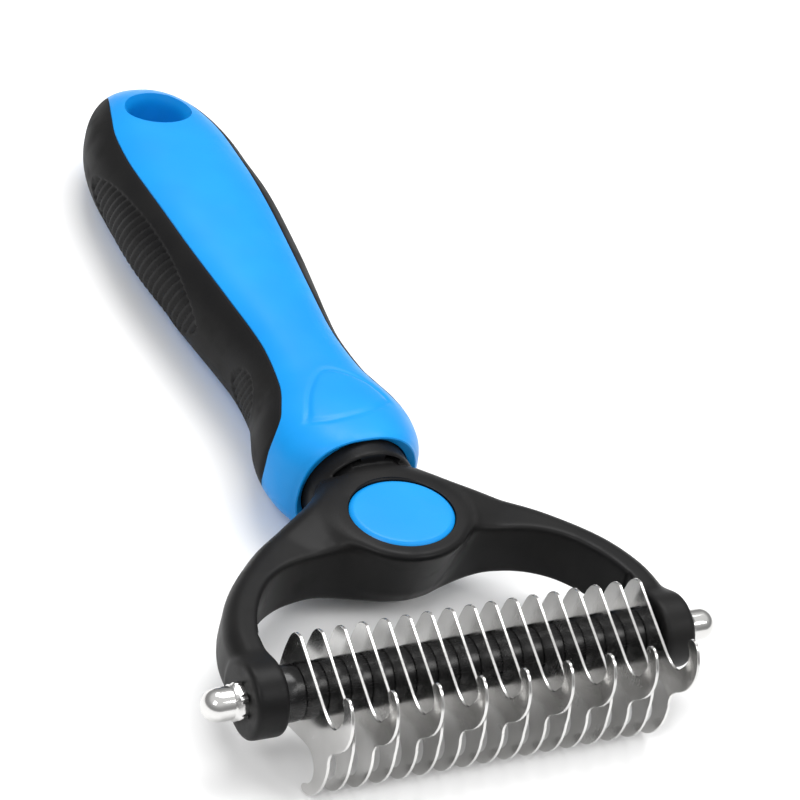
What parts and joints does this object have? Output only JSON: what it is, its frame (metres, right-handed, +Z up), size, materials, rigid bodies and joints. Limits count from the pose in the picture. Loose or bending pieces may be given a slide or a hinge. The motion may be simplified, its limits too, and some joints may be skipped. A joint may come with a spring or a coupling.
{
  "type": "deshedding tool",
  "caption": "Handheld pet dematting rake: toothed plates on a rod between the arms of a black fork, with a blue and black grip handle and a hang hole.",
  "frame": {"origin": "on the surface that the tool lies on, under the middle of its bounding box", "axes": "+X along the clamping rod, +Y from the toothed plates towards the handle's end, +Z up, away from the surface, with the badge and the front hooks on the upper side"},
  "size_m": [0.1086, 0.2002, 0.0295],
  "materials": {
    "black_plastic": "moulded, fine matt grain",
    "blue_plastic": "moulded, satin",
    "gloss_black": "turned, gloss",
    "black_rubber": "soft matt",
    "polished_steel": "polished stainless steel"
  },
  "bodies": {
    "root": {"head_fork": "black_plastic", "badge": "blue_plastic", "clamp_rod": "polished_steel", "acorn_nut_left": "polished_steel", "acorn_nut_right": "polished_steel", "end_spacer_left": "gloss_black", "end_spacer_right": "gloss_black", "spacer_01": "gloss_black", "spacer_02": "gloss_black", "spacer_03": "gloss_black", "spacer_04": "gloss_black", "spacer_05": "gloss_black", "spacer_06": "gloss_black", "spacer_07": "gloss_black", "spacer_08": "gloss_black", "spacer_09": "gloss_black", "spacer_10": "gloss_black", "spacer_11": "gloss_black", "spacer_12": "gloss_black", "spacer_13": "gloss_black", "spacer_14": "gloss_black", "spacer_15": "gloss_black", "spacer_16": "gloss_black", "blade_01": "polished_steel", "blade_02": "polished_steel", "blade_03": "polished_steel", "blade_04": "polished_steel", "blade_05": "polished_steel", "blade_06": "polished_steel", "blade_07": "polished_steel", "blade_08": "polished_steel", "blade_09": "polished_steel", "blade_10": "polished_steel", "blade_11": "polished_steel", "blade_12": "polished_steel", "blade_13": "polished_steel", "blade_14": "polished_steel", "blade_15": "polished_steel", "blade_16": "polished_steel", "blade_17": "polished_steel", "handle_core": "blue_plastic", "grip_left": "black_rubber", "grip_right": "black_rubber"}
  },
  "joints": []
}
